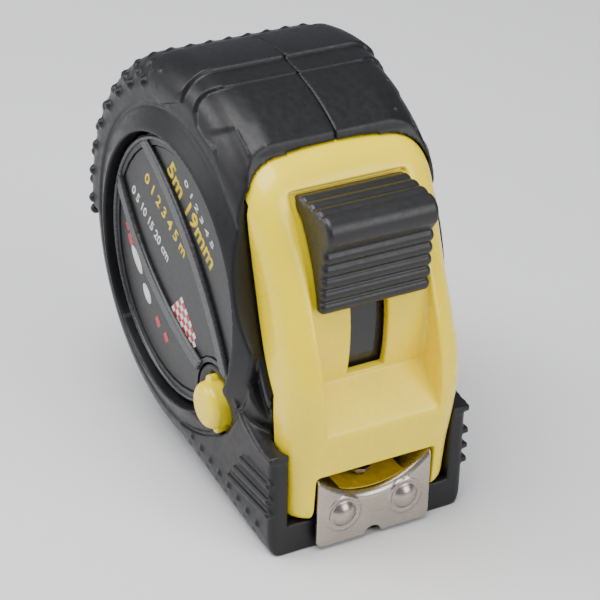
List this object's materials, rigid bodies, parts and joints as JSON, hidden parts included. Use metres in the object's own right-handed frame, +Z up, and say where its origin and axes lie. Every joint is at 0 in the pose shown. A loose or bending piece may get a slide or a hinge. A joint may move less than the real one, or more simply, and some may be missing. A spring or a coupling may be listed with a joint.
{
  "type": "tape measure",
  "caption": "Pocket tape measure: round case in a rubber jacket with a yellow front, thumb lock, side button, belt clip and a crowned steel blade with an end hook.",
  "frame": {"origin": "on the flat base, in the middle plane, straight below the spindle", "axes": "+X out of the mouth, +Z up, +Y towards the belt clip; the label and button are on -Y"},
  "size_m": [0.0665, 0.0425, 0.0645],
  "materials": {
    "yellow_plastic": "smooth satin-gloss moulded ABS",
    "black_plastic": "fine satin texture",
    "gloss_black": "glossy",
    "black_rubber": "satin thermoplastic rubber",
    "grey_plastic": "matte",
    "steel": "satin nickel plate",
    "dark_steel": "dark spring steel",
    "blade_paint": "glossy lacquer",
    "label_print": "printed film"
  },
  "bodies": {
    "case": {"case_right": "black_plastic", "case_left": "black_plastic", "jacket_right": "black_rubber", "jacket_left": "black_rubber", "front_bezel": "yellow_plastic", "mouth_bumper": "black_rubber", "spindle_post": "grey_plastic", "button_spring": "steel", "belt_clip": "steel", "clip_screw": "steel", "case_screw_top": "dark_steel", "case_screw_rear": "dark_steel", "case_screw_low_rear": "dark_steel", "case_screw_front": "dark_steel", "label_lower": "label_print", "label_middle": "label_print", "label_upper": "label_print"},
    "lock": {"lock_slider": "black_plastic", "lock_tongue": "gloss_black", "brake_pad": "black_rubber"},
    "spool": {"spool_drum": "grey_plastic", "spool_lid": "grey_plastic", "blade_coil": "blade_paint", "power_spring": "dark_steel"},
    "blade": {"blade_strip": "blade_paint", "hook_rivet_front": "steel", "hook_rivet_right": "steel", "hook_rivet_left": "steel"},
    "hook": {"hook_plate": "steel", "hook_magnet_right": "dark_steel", "hook_magnet_left": "dark_steel"},
    "button": {"side_button": "yellow_plastic", "button_plunger": "grey_plastic"}
  },
  "joints": [
    {"name": "lock_slide", "type": "hinge", "parent": "case", "child": "lock", "pos_m": [0, 0, 0.0322], "axis": [0, 1, 0], "range_deg": [0, 18]},
    {"name": "spool_spin", "type": "hinge", "parent": "case", "child": "spool", "pos_m": [0, 0, 0.0322], "axis": [0, -1, 0], "range_deg": [0, 64], "stiffness_Nm_per_rad": 0.05, "springref_deg": -57.3},
    {"name": "blade_pull", "type": "slide", "parent": "case", "child": "blade", "axis": [1, 0, 0], "range_m": [0, 0.025]},
    {"name": "hook_float", "type": "slide", "parent": "blade", "child": "hook", "axis": [1, 0, 0], "range_m": [0, 0.0007]},
    {"name": "button_press", "type": "slide", "parent": "case", "child": "button", "axis": [0, 1, 0], "range_m": [0, 0.0018], "stiffness_N_per_m": 600, "springref_m": -0.001, "deforming": ["button_spring"]}
  ],
  "couplings": [
    {"joint": "blade_pull", "follows": "spool_spin", "m_per_rad": 0.0223}
  ]
}
